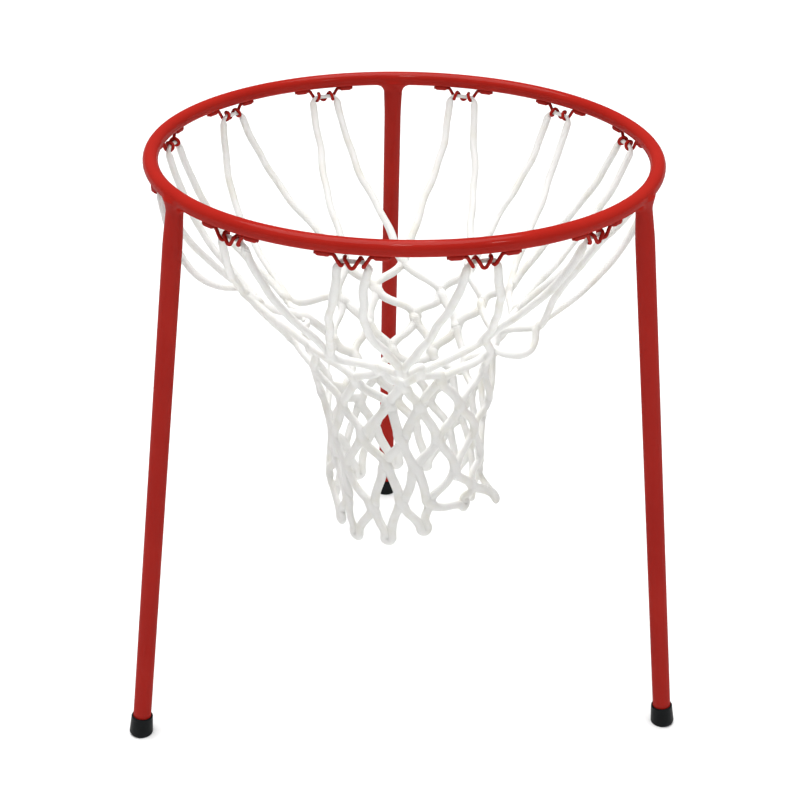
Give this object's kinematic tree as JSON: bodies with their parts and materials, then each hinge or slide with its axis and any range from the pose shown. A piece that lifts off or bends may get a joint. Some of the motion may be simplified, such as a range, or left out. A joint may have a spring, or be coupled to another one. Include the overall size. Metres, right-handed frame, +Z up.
{
  "type": "floor basketball goal",
  "caption": "Free-standing round ring on three splayed tube legs with rubber feet, holding an open white cord net in wire hooks under the ring.",
  "frame": {"origin": "centre of the ring, on the centre line of its bar; the floor is 0.55 m below", "axes": "+Z up along the ring's axis, +Y from the ring's axis towards the back leg, +X towards the side of the right leg"},
  "size_m": [0.5454, 0.5521, 0.557],
  "materials": {
    "red_coat": "gloss",
    "black_rubber": "matte",
    "zinc_steel": "satin",
    "net_cord": "matte"
  },
  "bodies": {
    "stand": {"ring": "red_coat", "leg_back": "red_coat", "leg_left": "red_coat", "leg_right": "red_coat", "leg_welds": "red_coat", "washer_back": "zinc_steel", "washer_left": "zinc_steel", "washer_right": "zinc_steel", "ferrule_back": "black_rubber", "ferrule_left": "black_rubber", "ferrule_right": "black_rubber", "hook_1": "red_coat", "hook_2": "red_coat", "hook_3": "red_coat", "hook_4": "red_coat", "hook_5": "red_coat", "hook_6": "red_coat", "hook_7": "red_coat", "hook_8": "red_coat", "hook_9": "red_coat", "hook_10": "red_coat", "hook_11": "red_coat", "hook_12": "red_coat", "hook_welds": "red_coat", "net_top": "net_cord"},
    "net_middle": {"net_middle": "net_cord"},
    "net_bottom": {"net_bottom": "net_cord"}
  },
  "joints": [
    {"name": "net_sway_side", "type": "hinge", "parent": "stand", "child": "net_middle", "pos_m": [0, 0, -0.14], "axis": [0, 1, 0], "range_deg": [-15, 15]},
    {"name": "net_sway_fore", "type": "hinge", "parent": "net_middle", "child": "net_bottom", "pos_m": [0, 0, -0.245], "axis": [1, 0, 0], "range_deg": [-15, 15]}
  ]
}
